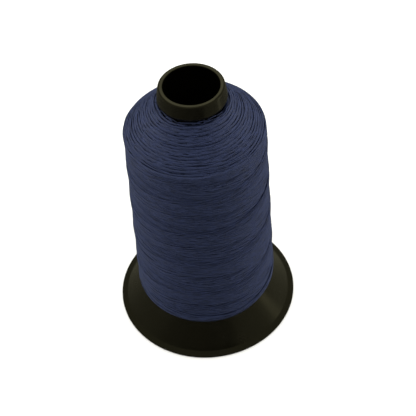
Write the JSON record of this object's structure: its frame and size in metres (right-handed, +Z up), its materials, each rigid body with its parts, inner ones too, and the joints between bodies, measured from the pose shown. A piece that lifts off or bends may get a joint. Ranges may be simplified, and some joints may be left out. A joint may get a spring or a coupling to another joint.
{
  "type": "spool of thread",
  "caption": "Tall industrial spool of navy sewing thread, cross-wound on a black plastic tube with a rounded nose and a wide coned base.",
  "frame": {"origin": "centre of the base's underside, on the plane the spool stands on", "axes": "+Z up along the tube; +X and +Y are level, any way round"},
  "size_m": [0.085, 0.085, 0.135],
  "materials": {
    "black_plastic": "semi-gloss moulded",
    "navy_thread": "bonded, faint sheen"
  },
  "bodies": {
    "root": {"tube": "black_plastic", "base": "black_plastic", "thread_package": "navy_thread"}
  },
  "joints": []
}
